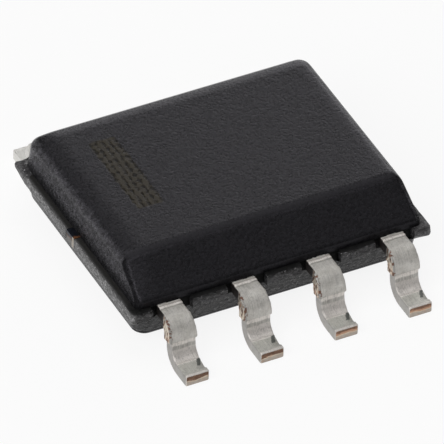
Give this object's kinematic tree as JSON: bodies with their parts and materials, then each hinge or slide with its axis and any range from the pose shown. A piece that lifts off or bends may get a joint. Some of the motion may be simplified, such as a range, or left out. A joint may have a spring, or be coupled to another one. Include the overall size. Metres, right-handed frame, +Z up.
{
  "type": "switching regulator integrated circuit",
  "caption": "Surface-mount switching regulator: dark moulded epoxy body with one bevelled long edge, thin flash at the parting line and gull-wing leads along both long sides.",
  "frame": {"origin": "on the board plane under the middle of the body: the centre of the bounding box, at the feet's undersides", "axes": "+X along the lead rows from lead 1 to lead 4, +Y from the front row (leads 1 to 4, bevelled side) to the rear row, +Z up from the board"},
  "size_m": [0.0052, 0.006, 0.0014],
  "materials": {
    "epoxy_resin": "matte, finely grained",
    "tin_plating": "satin, tool marked",
    "bare_copper": "sheared",
    "die_adhesive": "matte",
    "silicon": "polished",
    "bond_gold": "drawn wire"
  },
  "bodies": {
    "root": {"molded_body": "epoxy_resin", "die_paddle": "bare_copper", "die_attach": "die_adhesive", "silicon_die": "silicon", "lead_1": "tin_plating", "lead_2": "tin_plating", "lead_3": "tin_plating", "lead_4": "tin_plating", "lead_5": "tin_plating", "lead_6": "tin_plating", "lead_7": "tin_plating", "lead_8": "tin_plating", "bond_wire_1": "bond_gold", "bond_wire_2": "bond_gold", "bond_wire_3": "bond_gold", "bond_wire_4": "bond_gold", "bond_wire_5": "bond_gold", "bond_wire_6": "bond_gold", "bond_wire_7": "bond_gold", "bond_wire_8": "bond_gold"}
  },
  "joints": []
}
